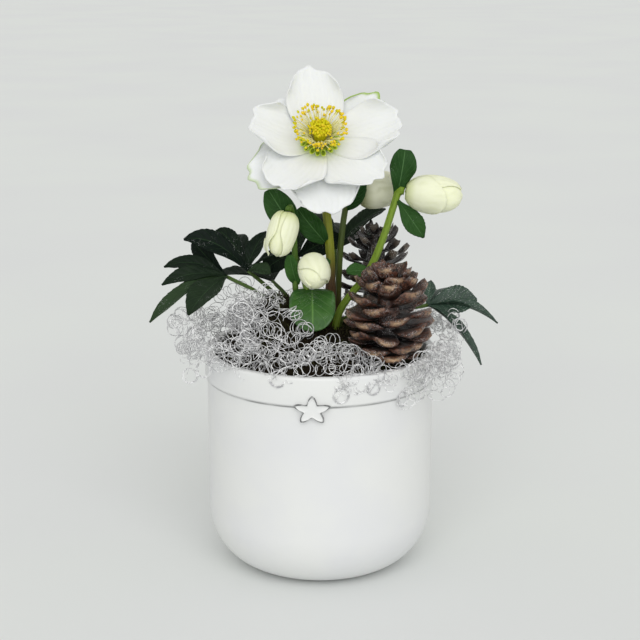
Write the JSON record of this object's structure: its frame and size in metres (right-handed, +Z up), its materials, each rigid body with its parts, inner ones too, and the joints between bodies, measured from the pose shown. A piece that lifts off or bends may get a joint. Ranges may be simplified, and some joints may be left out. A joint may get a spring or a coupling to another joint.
{
  "type": "potted christmas rose",
  "caption": "Christmas rose in a round white ceramic pot with a collar and a raised star, dressed with moss, pine cones and curled silver wire.",
  "frame": {"origin": "centre of the pot's flat foot, on the surface that it stands on", "axes": "+Z up, along the pot's axis; -Y to the front, where the star is and the bloom faces; +X to the right as seen from the front"},
  "size_m": [0.1969, 0.146, 0.2843],
  "materials": {
    "ceramic": "white glazed ceramic, satin to glossy, a little darker in the seam under the collar",
    "soil": "damp dark potting soil",
    "moss": "brown-green moss, matt and rough",
    "leaf": "dark green leathery leaf, satin, with water drops",
    "stem": "green stem and bract, satin, olive brown in the bloom's stem",
    "sepal": "white sepal, soft and slightly translucent, green towards its base",
    "nectary": "yellow-green, satin",
    "stamen": "yellow, dusty",
    "bud": "greenish ivory, soft",
    "cone": "dry brown cone scale, lighter at its tip, dusted with fine glitter",
    "wire": "thin bright silver wire"
  },
  "bodies": {
    "root": {"pot": "ceramic", "soil": "soil", "moss": "moss", "leaf_left_low": "leaf", "leaf_left_high": "leaf", "leaf_right": "leaf", "leaf_back_right": "leaf", "leaf_back": "leaf", "leaf_back_left": "leaf", "stem_bloom": "stem", "stem_bud_back": "stem", "stem_bud_right": "stem", "stem_bud_left": "stem", "stem_bud_center": "stem", "bloom_sepals": "sepal", "bloom_nectaries": "nectary", "bloom_stamens": "stamen", "bud_left": "bud", "bud_center": "bud", "bud_right": "bud", "bud_back": "bud", "pine_cone_front": "cone", "pine_cone_back": "cone", "wire_curls_left": "wire", "wire_curls_rim_left": "wire", "wire_curls_front": "wire", "wire_curls_right": "wire", "wire_curls_back": "wire"}
  },
  "joints": []
}
